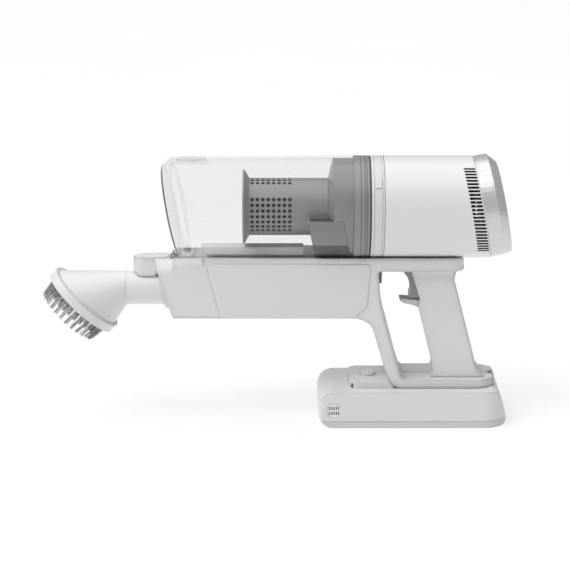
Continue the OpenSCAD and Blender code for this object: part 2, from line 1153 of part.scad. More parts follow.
module charge_jack() {
  color("#202020")
    difference() {
      block([73.4, -4.6, jack_z - 4.6], [85, 4.6, jack_z + 4.6]);
      translate([75.4, 0, jack_z])
        rotate([0, 90, 0])
          cylinder(h = 20, r = 2.8);
    }
}

module battery_button() {
  color("#dadada")
    translate([battery_button_x, 0, 38.6])
      cylinder(h = 7, r = 6.8);
}

module battery_button_spring() {
  color("#8c8c8c")
    coil_sleeve(battery_button_x, 25.2, 38.5, 3.6);
}

// ---------- electronics and fixings in the handle ----------

module control_board() {
  color("#2f6b3a")
    translate([33, 4, 98])
      rotate([0, -14, 0])
        block([-11, 0, -28], [8, 1.6, 14]);
}

module status_light() {
  color("#909090")
    block([74.8, -4, 39.6], [79.6, 4, 43.6]);
}

module housing_screws() {
  color("#707070")
    for (at = screw_points)
      cross_bar(at, 1.5, grip_half - 4);
}

body_left();
body_right();
side_panel_left();
side_panel_right();
socket_collar();
suction_duct();
duct_gasket();
motor_housing();
tail_ring();
tail_cover();
exhaust_filter();
motor_can();
motor_stator();
front_bearing();
rear_bearing();
fan_shroud();
motor_mount();
control_board();
trigger_switch();
trigger_pin();
trigger_spring();
lever_pin();
terminal_plug();
status_light();
housing_screws();
nozzle_button_spring();
impeller();
motor_shaft();
rotor_magnet();
power_trigger();
release_lever();
bin_catch();
nozzle_button();
brush_body();
bristle_plate();
bristles();
lock_ring();
dust_bin();
bin_runner();
lid_pin();
cyclone_head();
inlet_scoop();
shroud();
shroud_mesh();
pre_filter();
head_seal();
bin_lid();
lid_seal();
lid_latch();
battery_case();
battery_tray();
battery_cells();
cell_links();
battery_board();
battery_socket();
vent_grilles();
charge_jack();
battery_button();
battery_button_spring();
mode_button();
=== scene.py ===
import math
import random

import bmesh
import bpy
from mathutils import Matrix, Vector


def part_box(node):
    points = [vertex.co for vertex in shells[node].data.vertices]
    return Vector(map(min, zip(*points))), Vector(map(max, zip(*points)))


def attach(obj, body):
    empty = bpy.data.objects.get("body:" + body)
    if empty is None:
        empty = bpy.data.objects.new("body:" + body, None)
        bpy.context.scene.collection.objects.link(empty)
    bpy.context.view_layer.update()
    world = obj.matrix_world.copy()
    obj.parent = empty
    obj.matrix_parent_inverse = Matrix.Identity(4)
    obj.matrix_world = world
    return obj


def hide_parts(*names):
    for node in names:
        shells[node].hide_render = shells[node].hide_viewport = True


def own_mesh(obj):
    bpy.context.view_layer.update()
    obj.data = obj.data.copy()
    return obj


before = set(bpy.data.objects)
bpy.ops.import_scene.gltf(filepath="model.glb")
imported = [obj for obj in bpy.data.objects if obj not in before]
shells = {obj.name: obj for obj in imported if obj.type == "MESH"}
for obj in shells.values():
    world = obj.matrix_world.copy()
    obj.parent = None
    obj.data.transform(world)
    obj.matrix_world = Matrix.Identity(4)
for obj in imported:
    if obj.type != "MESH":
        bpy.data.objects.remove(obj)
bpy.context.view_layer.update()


# ---------------------------------------------------------------------------
# The camera stands well back on the machine's left and looks a little down
# on it, far enough away for near and far parts to keep their true sizes.
# ---------------------------------------------------------------------------
aim = Vector((-0.1202, 0.0, 0.1305))
distance = 1.75
rise = math.radians(15.5)
camera = bpy.data.objects.new("camera", bpy.data.cameras.new("camera"))
bpy.context.scene.collection.objects.link(camera)
camera.location = aim + distance * Vector((0.0, -math.cos(rise), math.sin(rise)))
camera.rotation_euler = (math.pi / 2 - rise, 0.0, 0.0)
camera.data.sensor_width = 36.0
camera.data.lens = 116.35
camera.data.clip_end = 60.0
bpy.context.scene.camera = camera


# ---------------------------------------------------------------------------
# The floor is a wide sheet of white acrylic, lit from below like a light
# table. A dim sky, a broad ceiling light and a window on the left do the rest.
# ---------------------------------------------------------------------------
class Signal:
    """What comes out of one socket. Arithmetic on it adds Math nodes."""

    def __init__(self, tree, socket):
        self.tree = tree
        self.socket = socket

    def work(self, operation, *values):
        node = self.tree.nodes.new("ShaderNodeMath")
        node.operation = operation
        for place, value in enumerate(values):
            if isinstance(value, Signal):
                self.tree.links.new(value.socket, node.inputs[place])
            else:
                node.inputs[place].default_value = value
        return Signal(self.tree, node.outputs[0])

    def __add__(self, other):
        return self.work("ADD", self, other)

    def __radd__(self, other):
        return self.work("ADD", other, self)

    def __sub__(self, other):
        return self.work("SUBTRACT", self, other)

    def __rsub__(self, other):
        return self.work("SUBTRACT", other, self)

    def __mul__(self, other):
        return self.work("MULTIPLY", self, other)

    def __rmul__(self, other):
        return self.work("MULTIPLY", other, self)

    def __pow__(self, other):
        return self.work("POWER", self, other)


class Finish:
    """A material that is put together one node at a time."""

    def __init__(self, name):
        self.material = bpy.data.materials.new(name)
        self.material.use_nodes = True
        self.tree = self.material.node_tree
        self.tree.nodes.clear()

    def node(self, kind, settings=None, values=None, output=None):
        """Adds a node: its settings first, then what goes into its sockets."""
        node = self.tree.nodes.new(kind)
        for name, setting in (settings or {}).items():
            if name == "stops":
                stops = node.color_ramp.elements
                while len(stops) < len(setting):
                    stops.new(1.0)
                for stop, (position, grey) in zip(stops, setting):
                    stop.position = position
                    stop.color = (grey, grey, grey, 1.0)
            else:
                setattr(node, name, setting)
        for name, value in (values or {}).items():
            socket = next(s for s in node.inputs if s.enabled and name in (s.name, s.identifier))
            if isinstance(value, Signal):
                self.tree.links.new(value.socket, socket)
            else:
                socket.default_value = value
        outputs = [s for s in node.outputs if s.enabled]
        if output:
            outputs = [s for s in outputs if s.name == output]
        return Signal(self.tree, outputs[0]) if outputs else None

    def close(self, shader):
        self.node("ShaderNodeOutputMaterial", values={"Surface": shader})
        return self.material


def plain_grey(value):
    return (value, value, value, 1.0)


def light_table():
    finish = Finish("light_table")
    place = finish.node("ShaderNodeTexCoord", output="Object")
    cloud = finish.node("ShaderNodeTexNoise", values={"Vector": place, "Scale": 3.0}, output="Fac")
    return finish.close(finish.node("ShaderNodeBsdfPrincipled", values={
        "Base Color": plain_grey(0.55),
        "Roughness": cloud * 0.1 + 0.22,
        "Emission Color": plain_grey(1.0),
        "Emission Strength": 0.48,
    }))


def make_piece(name, form, *materials):
    """Puts a finished form into the scene, where it already stands."""
    mesh = bpy.data.meshes.new(name)
    form.to_mesh(mesh)
    form.free()
    for material in materials:
        mesh.materials.append(material)
    piece = bpy.data.objects.new(name, mesh)
    bpy.context.scene.collection.objects.link(piece)
    return piece


sheet = bmesh.new()
bmesh.ops.create_grid(sheet, x_segments=2, y_segments=2, size=14.0)
floor = make_piece("floor", sheet, light_table())

sky = bpy.data.worlds.new("studio")
sky.use_nodes = True
glow = sky.node_tree.nodes["Background"]
glow.inputs["Color"].default_value = plain_grey(1.0)
glow.inputs["Strength"].default_value = 0.2
bpy.context.scene.world = sky
bpy.context.scene.view_settings.view_transform = "Standard"


def broad_light(name, strength, spread, heading):
    lamp = bpy.data.lights.new(name, "SUN")
    lamp.energy = strength
    lamp.angle = math.radians(spread)
    holder = bpy.data.objects.new(name, lamp)
    bpy.context.scene.collection.objects.link(holder)
    holder.rotation_euler = Vector(heading).to_track_quat("-Z", "Y").to_euler()


broad_light("ceiling", 2.2, 80, (0.14, 0.0, -1.0))
broad_light("window", 1.3, 45, (0.6, 0.35, -0.75))


# ---------------------------------------------------------------------------
# The frame: two moulded halves in light satin plastic, screwed together from
# the right. Duct casing, rail, strut, grip and foot are all one ribbon.
# ---------------------------------------------------------------------------
def moulded_plastic(name, grey, roughness, edge=0.0015, grain=0.5, scale=1500.0):
    """Satin plastic with a fine moulded grain, a faint cloudiness and softened corners."""
    finish = Finish(name)
    place = finish.node("ShaderNodeTexCoord", output="Object")
    fine = finish.node("ShaderNodeTexNoise", values={
        "Vector": place, "Scale": scale, "Detail": 2.0}, output="Fac")
    cloud = finish.node("ShaderNodeTexNoise", values={
        "Vector": place, "Scale": 11.0, "Detail": 4.0}, output="Fac")
    rubbed = finish.node("ShaderNodeTexNoise", values={
        "Vector": place, "Scale": 70.0, "Detail": 5.0, "Roughness": 0.7}, output="Fac")
    shade = finish.node("ShaderNodeMix", {"data_type": "RGBA"}, {
        "Factor": cloud,
        "A": plain_grey(grey * 0.975),
        "B": plain_grey(grey * 1.02),
    })
    corners = finish.node("ShaderNodeBevel", {"samples": 4}, {"Radius": edge})
    surface = finish.node("ShaderNodeBump", values={
        "Height": fine, "Strength": grain, "Distance": 0.00001, "Normal": corners})
    return finish.close(finish.node("ShaderNodeBsdfPrincipled", values={
        "Base Color": shade,
        "Roughness": rubbed * 0.12 + cloud * 0.06 + (roughness - 0.09),
        "Normal": surface,
    }))


def dress(material, *names):
    """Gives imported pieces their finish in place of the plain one."""
    for name in names:
        mesh = shells[name].data
        if not mesh.materials:
            mesh.materials.append(material)
        for place in range(len(mesh.materials)):
            mesh.materials[place] = material


white_shell = moulded_plastic("white_shell", 0.72, 0.45, edge=0.006)
dress(white_shell, "body_left", "body_right")


# ---------------------------------------------------------------------------
# Side panels: thin plates of the same plastic, a touch darker and finer in
# grain, glued into a seat on each side of the casing with a lip over its edge.
# ---------------------------------------------------------------------------
# the panel's corners along the machine and up it
plate_outline = (
    (-0.1937, 0.1576), (-0.1799, 0.1056), (-0.0560, 0.1056), (-0.0430, 0.1165), (-0.0400, 0.1576))
plate_corner = 0.0038
plate_thickness = 0.0016
plate_edge = 0.0010
plate_seat = 0.0254
plate_skin = moulded_plastic("plate_skin", 0.705, 0.42, edge=0.0008, grain=0.7, scale=2400.0)


def side_plate(name, stands_for, side):
    plate = bmesh.new()
    corners = [plate.verts.new((x, 0.0, z)) for x, z in plate_outline]
    plate.faces.new(corners)
    bmesh.ops.bevel(plate, geom=corners, offset=plate_corner, segments=6, profile=0.5,
                    affect="VERTICES", material=-1)
    grown = bmesh.ops.extrude_face_region(plate, geom=plate.faces[:])["geom"]
    outer = [v for v in grown if isinstance(v, bmesh.types.BMVert)]
    bmesh.ops.translate(plate, verts=outer, vec=(0.0, side * plate_thickness, 0.0))
    rim = [e for e in plate.edges if e.verts[0] in outer and e.verts[1] in outer]
    bmesh.ops.bevel(plate, geom=rim, offset=plate_edge, segments=5, profile=0.5,
                    affect="EDGES", material=-1)
    bmesh.ops.translate(plate, verts=plate.verts[:], vec=(0.0, side * plate_seat, 0.0))
    bmesh.ops.recalc_face_normals(plate, faces=plate.faces[:])
    piece = make_piece(name, plate, plate_skin)
    for face in piece.data.polygons:
        face.use_smooth = True
    piece.data.set_sharp_from_angle(angle=math.radians(40))
    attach(piece, "main_body")
    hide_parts(stands_for)


side_plate("plate_left", "side_panel_left", -1)
side_plate("plate_right", "side_panel_right", 1)


# ---------------------------------------------------------------------------
# Socket collar, suction duct and gasket: the collar takes the tool's neck,
# and the grey duct behind it leads the air up through a soft gasket.
# ---------------------------------------------------------------------------
def soft_rubber(name, grey, roughness=0.7):
    """Dark elastomer with a dusty, slightly uneven surface."""
    finish = Finish(name)
    place = finish.node("ShaderNodeTexCoord", output="Object")
    dust = finish.node("ShaderNodeTexNoise", values={
        "Vector": place, "Scale": 160.0, "Detail": 6.0}, output="Fac")
    pores = finish.node("ShaderNodeTexVoronoi", values={
        "Vector": place, "Scale": 1400.0}, output="Distance")
    shade = finish.node("ShaderNodeMix", {"data_type": "RGBA"}, {
        "Factor": dust,
        "A": plain_grey(grey * 0.8),
        "B": plain_grey(grey * 1.25),
    })
    surface = finish.node("ShaderNodeBump", values={
        "Height": pores, "Strength": 0.4, "Distance": 0.00002})
    return finish.close(finish.node("ShaderNodeBsdfPrincipled", values={
        "Base Color": shade, "Roughness": dust * 0.2 + (roughness - 0.1), "Normal": surface}))


dress(moulded_plastic("collar_plastic", 0.62, 0.4, edge=0.0008), "socket_collar")
duct_grey = moulded_plastic("duct_grey", 0.40, 0.35, edge=0.001, grain=0.3)
dress(duct_grey, "suction_duct")
seal_rubber = soft_rubber("seal_rubber", 0.05)
dress(seal_rubber, "duct_gasket")


# ---------------------------------------------------------------------------
# Trigger and release lever: grey plastic, each turning on a steel pin. The
# trigger closes a small black switch, and the lever draws a sliding catch.
# ---------------------------------------------------------------------------
def turned_steel(name, grey, roughness=0.28, along="X"):
    """Bright steel with fine tool marks round the bar."""
    finish = Finish(name)
    place = finish.node("ShaderNodeTexCoord", output="Object")
    marks = finish.node("ShaderNodeTexWave", {"wave_type": "BANDS", "bands_direction": along}, {
        "Vector": place, "Scale": 900.0, "Distortion": 2.0, "Detail": 2.0}, output="Fac")
    stain = finish.node("ShaderNodeTexNoise", values={
        "Vector": place, "Scale": 60.0, "Detail": 4.0}, output="Fac")
    shade = finish.node("ShaderNodeMix", {"data_type": "RGBA"}, {
        "Factor": stain,
        "A": (grey * 0.85, grey * 0.85, grey * 0.87, 1.0),
        "B": (grey, grey, grey * 1.01, 1.0),
    })
    surface = finish.node("ShaderNodeBump", values={
        "Height": marks, "Strength": 0.3, "Distance": 0.00001})
    return finish.close(finish.node("ShaderNodeBsdfPrincipled", values={
        "Base Color": shade, "Metallic": 1.0,
        "Roughness": stain * 0.15 + roughness, "Normal": surface}))


dress(moulded_plastic("trigger_grey", 0.30, 0.4, edge=0.0012), "power_trigger")
dress(moulded_plastic("lever_grey", 0.20, 0.42, edge=0.001), "release_lever", "bin_catch")
pin_steel = turned_steel("pin_steel", 0.62, along="Y")
dress(pin_steel, "trigger_pin", "lever_pin", "trigger_spring")
black_plastic = moulded_plastic("black_plastic", 0.025, 0.45, edge=0.0004)
dress(black_plastic, "trigger_switch")


# ---------------------------------------------------------------------------
# Inside the grip and foot: the control board of green laminate, the black
# plug that meets the battery, the shell's screws, and the charge light's small
# frosted window.
# ---------------------------------------------------------------------------
def green_laminate():
    finish = Finish("green_laminate")
    place = finish.node("ShaderNodeTexCoord", output="Object")
    tracks = finish.node("ShaderNodeTexBrick", values={
        "Vector": place, "Scale": 260.0, "Mortar Size": 0.03,
        "Color1": (0.012, 0.10, 0.035, 1.0), "Color2": (0.014, 0.12, 0.04, 1.0),
        "Mortar": (0.03, 0.20, 0.07, 1.0)}, output="Color")
    cloud = finish.node("ShaderNodeTexNoise", values={"Vector": place, "Scale": 90.0}, output="Fac")
    return finish.close(finish.node("ShaderNodeBsdfPrincipled", values={
        "Base Color": tracks, "Roughness": cloud * 0.2 + 0.25}))


board_green = green_laminate()
dress(board_green, "control_board")
dress(black_plastic, "terminal_plug")
dress(turned_steel("screw_steel", 0.30, 0.35, along="Y"), "housing_screws")
dress(moulded_plastic("light_window", 0.24, 0.25, edge=0.0006, grain=0.2), "status_light")


# ---------------------------------------------------------------------------
# Two white buttons, each on a steel coil spring: the oblong one in a well
# above the socket frees the tool, and the round one frees the battery.
# ---------------------------------------------------------------------------
spring_wire = 0.00034
bends_per_turn = 18
spring_steel = turned_steel("spring_steel", 0.50, 0.3, along="Z")


def coil_spring(name, stands_for, body, turns):
    """A round wire swept up a helix."""
    low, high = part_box(stands_for)
    radius = (high.x - low.x) / 2 - spring_wire
    steps = turns * bends_per_turn
    coil = bmesh.new()
    profile = bmesh.ops.create_circle(
        coil, cap_ends=True, segments=8, radius=spring_wire,
        matrix=Matrix.Translation((radius, 0.0, spring_wire)) @ Matrix.Rotation(math.pi / 2, 4, "X"))
    section = profile["verts"] + coil.edges[:] + coil.faces[:]
    bmesh.ops.spin(coil, geom=section, cent=(0, 0, 0), axis=(0, 0, 1),
                   dvec=(0, 0, (high.z - low.z - 2 * spring_wire) / steps),
                   angle=2 * math.pi * turns, steps=steps, use_merge=False)
    middle = Matrix.Translation(((low.x + high.x) / 2, (low.y + high.y) / 2, low.z))
    bmesh.ops.transform(coil, verts=coil.verts[:], matrix=middle)
    bmesh.ops.recalc_face_normals(coil, faces=coil.faces[:])
    spring = make_piece(name, coil, spring_steel)
    for face in spring.data.polygons:
        face.use_smooth = len(face.vertices) == 4
    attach(spring, body)
    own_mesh(spring)
    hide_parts(stands_for)


coil_spring("tool_button_coil", "nozzle_button_spring", "main_body", 4)
coil_spring("pack_button_coil", "battery_button_spring", "battery", 7)
# the buttons' white is lighter than the case's, painted light lifting them out of the shade they sit
# in
dress(moulded_plastic("button_white", 0.76, 0.36, edge=0.0009), "nozzle_button", "battery_button")


# ---------------------------------------------------------------------------
# The brush tool: one white moulding from neck to oval mouth, with a plate
# inside its rim that carries two rings of grey nylon tufts.
# ---------------------------------------------------------------------------
dress(moulded_plastic("brush_white", 0.72, 0.45, edge=0.003), "brush_body")
dress(moulded_plastic("plate_white", 0.64, 0.45, edge=0.0005), "bristle_plate")


def nylon_filament():
    finish = Finish("nylon_filament")
    place = finish.node("ShaderNodeTexCoord", output="Object")
    strands = finish.node("ShaderNodeTexNoise", values={
        "Vector": place, "Scale": 520.0, "Detail": 3.0}, output="Fac")
    tone = finish.node("ShaderNodeValToRGB", {"stops": [(0.32, 0.20), (0.5, 0.35), (0.68, 0.52)]},
                       {"Fac": strands}, output="Color")
    return finish.close(finish.node("ShaderNodeBsdfPrincipled", values={
        "Base Color": tone, "Roughness": strands * 0.2 + 0.35}))


brush_mouth = Vector((-0.315, 0.0, 0.1125))
brush_lean = math.radians(45.7)
oval_half = (0.033, 0.0265)
root_depth = 0.0008
# tufts in the ring, its share of the oval, their length, how far the tips lean inward
tuft_rings = ((28, 1.0, 0.0192, 0.0026), (24, 0.82, 0.0125, 0.0012))
tuft_strands = 16
tuft_radius = 0.00145
strand_root_radius, strand_tip_radius = 0.00022, 0.00017
uneven_cut = 0.0012
tip_gather = 0.45
tip_wander = 0.0003


def filament_tufts():
    chance = random.Random(7)
    to_row = Matrix.Translation(brush_mouth) @ Matrix.Rotation(-(math.pi / 2 + brush_lean), 4, "Y")
    tufts = bmesh.new()
    for ring, (count, share, reach, lean) in enumerate(tuft_rings):
        for place in range(count):
            turn = 2 * math.pi * (place + 0.5 * ring) / count
            outward = Vector((math.cos(turn), math.sin(turn), 0.0))
            root = Vector((oval_half[0] * share * math.cos(turn),
                           oval_half[1] * share * math.sin(turn), -root_depth))
            for _ in range(tuft_strands):
                spread = tuft_radius * math.sqrt(chance.random())
                around = chance.random() * 2 * math.pi
                offset = Vector((spread * math.cos(around), spread * math.sin(around), 0.0))
                length = reach - uneven_cut * chance.random()
                wander = Vector((chance.uniform(-1, 1), chance.uniform(-1, 1), 0)) * tip_wander
                tip = -outward * lean + offset * tip_gather + wander
                tip.z = length
                swing = Vector((0, 0, 1)).rotation_difference(tip).to_matrix().to_4x4()
                bmesh.ops.create_cone(
                    tufts, cap_ends=True, segments=5, radius1=strand_root_radius,
                    radius2=strand_tip_radius, depth=length,
                    matrix=to_row @ Matrix.Translation(root + offset) @ swing
                    @ Matrix.Translation((0, 0, length / 2)))
    piece = make_piece("bristle_tufts", tufts, nylon_filament())
    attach(piece, "brush_tool")
    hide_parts("bristles")


filament_tufts()


# ---------------------------------------------------------------------------
# The motor: a drawn aluminium can on a rubber mount, with a copper-wound
# stator, ball bearings, a magnet on the shaft and a milled impeller in front.
# ---------------------------------------------------------------------------
def copper_winding():
    finish = Finish("copper_winding")
    place = finish.node("ShaderNodeTexCoord", output="Object")
    wires = finish.node("ShaderNodeTexWave", {"wave_type": "BANDS", "bands_direction": "X"}, {
        "Vector": place, "Scale": 420.0, "Distortion": 3.0, "Detail": 2.0}, output="Fac")
    shade = finish.node("ShaderNodeMix", {"data_type": "RGBA"}, {
        "Factor": wires, "A": (0.28, 0.09, 0.03, 1.0), "B": (0.62, 0.26, 0.10, 1.0)})
    surface = finish.node("ShaderNodeBump", values={
        "Height": wires, "Strength": 0.6, "Distance": 0.0001})
    return finish.close(finish.node("ShaderNodeBsdfPrincipled", values={
        "Base Color": shade, "Metallic": 1.0, "Roughness": wires * 0.15 + 0.28, "Normal": surface}))


dress(turned_steel("can_aluminium", 0.66, 0.3), "motor_can", "impeller")
dress(copper_winding(), "motor_stator")
dress(turned_steel("bearing_steel", 0.60, 0.2), "front_bearing", "rear_bearing", "motor_shaft")
dress(turned_steel("magnet_nickel", 0.34, 0.3), "rotor_magnet")
dress(black_plastic, "fan_shroud")
dress(soft_rubber("mount_rubber", 0.03), "motor_mount")


# ---------------------------------------------------------------------------
# The exhaust filter is a wide ring of dark pleated felt, pushed into the bore
# of the motor housing.
# ---------------------------------------------------------------------------
def pleated_felt(name, grey):
    finish = Finish(name)
    place = finish.node("ShaderNodeTexCoord", output="Object")
    fibres = finish.node("ShaderNodeTexNoise", values={
        "Vector": place, "Scale": 900.0, "Detail": 8.0, "Roughness": 0.8}, output="Fac")
    shade = finish.node("ShaderNodeMix", {"data_type": "RGBA"}, {
        "Factor": fibres,
        "A": plain_grey(grey * 0.6),
        "B": plain_grey(grey * 1.3)})
    surface = finish.node("ShaderNodeBump", values={
        "Height": fibres, "Strength": 0.8, "Distance": 0.0002})
    return finish.close(finish.node("ShaderNodeBsdfPrincipled", values={
        "Base Color": shade, "Roughness": fibres * 0.1 + 0.85, "Normal": surface}))


dress(pleated_felt("exhaust_felt", 0.012), "exhaust_filter")


# ---------------------------------------------------------------------------
# Motor housing: glossy white tube with a band of exhaust slots on each side.
# Its bore and the slots' walls carry painted shade, near black inside a given radius.
# ---------------------------------------------------------------------------
drum_axis_z = 0.207
inner_shade_blend = 0.00012


def plastic_with_inner_shade(name, grey, inner_shade, skin, roughness, edge):
    """Plastic round the drum's centre line with painted shade below a given radius."""
    finish = Finish(name)
    place = finish.node("ShaderNodeTexCoord", output="Object")
    fine = finish.node("ShaderNodeTexNoise", values={
        "Vector": place, "Scale": 1500.0, "Detail": 2.0}, output="Fac")
    cloud = finish.node("ShaderNodeTexNoise", values={
        "Vector": place, "Scale": 12.0, "Detail": 4.0}, output="Fac")
    across = finish.node("ShaderNodeSeparateXYZ", values={"Vector": place}, output="Y")
    up = finish.node("ShaderNodeSeparateXYZ", values={"Vector": place}, output="Z") - drum_axis_z
    radius = (across * across + up * up) ** 0.5
    clear_of_shade = finish.node("ShaderNodeMapRange", values={
        "Value": radius, "From Min": skin - inner_shade_blend,
        "From Max": skin + inner_shade_blend}, output="Result")
    shade = finish.node("ShaderNodeMix", {"data_type": "RGBA"}, {
        "Factor": cloud,
        "A": plain_grey(grey * 0.98),
        "B": plain_grey(grey * 1.02)})
    # painted shade: near black inside the radius, on the bore and on the walls of slots and holes
    shaded_inside = finish.node("ShaderNodeMix", {"data_type": "RGBA"}, {
        "Factor": clear_of_shade, "A": plain_grey(inner_shade), "B": shade})
    corners = finish.node("ShaderNodeBevel", {"samples": 4}, {"Radius": edge})
    surface = finish.node("ShaderNodeBump", values={
        "Height": fine, "Strength": 0.2, "Distance": 0.00001, "Normal": corners})
    return finish.close(finish.node("ShaderNodeBsdfPrincipled", values={
        "Base Color": shaded_inside,
        "Roughness": clear_of_shade * (roughness - 0.7) + 0.7 + cloud * 0.05,
        "Normal": surface}))


dress(plastic_with_inner_shade("housing_white", 0.73, 0.012, 0.0477, 0.28, 0.0005), "motor_housing")


# ---------------------------------------------------------------------------
# Lock ring, tail ring and rear cover. The ring is satin white; the tail ring
# is painted silver; the cover inside it carries the grey mode button.
# ---------------------------------------------------------------------------
def silver_paint():
    finish = Finish("silver_paint")
    place = finish.node("ShaderNodeTexCoord", output="Object")
    flakes = finish.node("ShaderNodeTexVoronoi", values={
        "Vector": place, "Scale": 2600.0}, output="Color")
    cloud = finish.node("ShaderNodeTexNoise", values={
        "Vector": place, "Scale": 16.0, "Detail": 3.0}, output="Fac")
    glitter = finish.node("ShaderNodeSeparateColor", values={"Color": flakes}, output="Red")
    shade = finish.node("ShaderNodeMix", {"data_type": "RGBA"}, {
        "Factor": glitter, "A": (0.56, 0.56, 0.57, 1.0), "B": (0.68, 0.68, 0.69, 1.0)})
    corners = finish.node("ShaderNodeBevel", {"samples": 4}, {"Radius": 0.0016})
    surface = finish.node("ShaderNodeBump", values={
        "Height": glitter, "Strength": 0.1, "Distance": 0.00001, "Normal": corners})
    return finish.close(finish.node("ShaderNodeBsdfPrincipled", values={
        "Base Color": shade, "Metallic": 0.4, "Roughness": cloud * 0.1 + 0.26,
        "Coat Weight": 0.3, "Coat Roughness": 0.12, "Normal": surface}))


dress(moulded_plastic("ring_white", 0.66, 0.34, edge=0.0004), "lock_ring")
dress(silver_paint(), "tail_ring")
dress(moulded_plastic("cover_white", 0.64, 0.4, edge=0.0008), "tail_cover")
dress(moulded_plastic("mode_grey", 0.28, 0.35, edge=0.0008), "mode_button")


# ---------------------------------------------------------------------------
# Cyclone: grey head with its collar, a scoop that turns the air into the bin,
# its low lip painted with shade, and the shroud, whose holes show the black
# mesh and filter inside, with painted shade on the holes' walls.
# ---------------------------------------------------------------------------
dress(moulded_plastic("head_grey", 0.26, 0.32, edge=0.0006, grain=0.3), "cyclone_head")
# the shroud's hole walls get the same painted shade below its radius
dress(plastic_with_inner_shade("shroud_grey", 0.28, 0.006, 0.0263, 0.3, 0.0003), "shroud")
dress(pleated_felt("mesh_black", 0.008), "shroud_mesh", "pre_filter")
dress(seal_rubber, "head_seal")


scoop_shade_top = 0.1781
scoop_shade_blend = 0.0003


def scoop_plastic():
    """Grey plastic whose low lip, below a set height, is painted near black as shade."""
    finish = Finish("scoop_plastic")
    place = finish.node("ShaderNodeTexCoord", output="Object")
    height = finish.node("ShaderNodeSeparateXYZ", values={"Vector": place}, output="Z")
    cloud = finish.node("ShaderNodeTexNoise", values={
        "Vector": place, "Scale": 40.0, "Detail": 4.0}, output="Fac")
    above_shade = finish.node("ShaderNodeMapRange", values={
        "Value": height, "From Min": scoop_shade_top - scoop_shade_blend,
        "From Max": scoop_shade_top + scoop_shade_blend}, output="Result")
    # painted shade: near black below the lip's top, where the mouth lies in shadow
    shade = finish.node("ShaderNodeMix", {"data_type": "RGBA"}, {
        "Factor": above_shade, "A": (0.055, 0.055, 0.056, 1.0), "B": plain_grey(0.24)})
    corners = finish.node("ShaderNodeBevel", {"samples": 4}, {"Radius": 0.001})
    return finish.close(finish.node("ShaderNodeBsdfPrincipled", values={
        "Base Color": shade, "Roughness": cloud * 0.1 + 0.3, "Normal": corners}))


dress(scoop_plastic(), "inlet_scoop")


# ---------------------------------------------------------------------------
# Dust bin: a slightly tapered tube of clear polycarbonate, with a frosted
# runner strip welded along the inside of its floor.
# ---------------------------------------------------------------------------
def clear_plastic(name, tint, least, most, grey=0.8):
    """Clear moulding: see-through face on, brighter and more solid edge on."""
    finish = Finish(name)
    place = finish.node("ShaderNodeTexCoord", output="Object")
    haze = finish.node("ShaderNodeTexNoise", values={
        "Vector": place, "Scale": 26.0, "Detail": 5.0}, output="Fac")
    facing = finish.node("ShaderNodeLayerWeight", values={"Blend": 0.5}, output="Facing")
    skin = finish.node("ShaderNodeBsdfPrincipled", values={
        "Base Color": plain_grey(grey), "Roughness": haze * 0.06 + 0.03})
    through = finish.node("ShaderNodeBsdfTransparent", values={"Color": plain_grey(tint)})
    return finish.close(finish.node("ShaderNodeMixShader", values={
        "Fac": facing ** 4.0 * (most - least) + least + haze * 0.01,
        "Shader": through, "Shader_001": skin}))


bin_clear = clear_plastic("bin_clear", 0.962, 0.025, 0.3, grey=0.8)
dress(bin_clear, "dust_bin")
dress(moulded_plastic("runner_frosted", 0.85, 0.3, edge=0.0008, grain=0.9), "bin_runner")


# ---------------------------------------------------------------------------
# The lid: a clear dished moulding, leaning forward at the top, with painted
# shade on the bead round its face. Two knuckles below take the hinge pin.
# ---------------------------------------------------------------------------
def rim_painted_shade():
    """Painted shade for the dark line a thick clear edge shows: dark from outside, clear from
    within.
    """
    finish = Finish("rim_painted_shade")
    place = finish.node("ShaderNodeTexCoord", output="Object")
    haze = finish.node("ShaderNodeTexNoise", values={"Vector": place, "Scale": 60.0}, output="Fac")
    edge_on_shade = finish.node("ShaderNodeFresnel", values={"IOR": 0.56}, output="Fac")
    dark = finish.node("ShaderNodeBsdfPrincipled", values={
        "Base Color": (0.05, 0.05, 0.052, 1.0), "Roughness": haze * 0.1 + 0.15})
    through = finish.node("ShaderNodeBsdfTransparent", values={"Color": plain_grey(0.95)})
    return finish.close(finish.node("ShaderNodeMixShader", values={
        "Fac": edge_on_shade * 0.9, "Shader": through, "Shader_001": dark}))


# depths run back from the lid's face, and radii go round its middle
lid_front = -0.229
lid_lean = math.radians(10.5)
lid_depth = 0.0126
face_drop = -0.0034
face_radius, face_inside = 0.0418, 0.0414
face_depth, face_wall = 0.0002, 0.0024
face_chamfer = 0.001
inside_depth = 0.009
bead_radius, bead_depth = 0.0436, 0.0021
mouth_radius, mouth_inside = 0.0461, 0.0441
skirt_steps = 8
hinge_pin = Vector((-0.2256, 0.0, 0.1616))
knuckle_side, knuckle_width = 0.007, 0.004
knuckle_bore, knuckle_rim = 0.00108, 0.0021
arm_start, arm_length, arm_height = 0.0013, 0.0049, 0.003


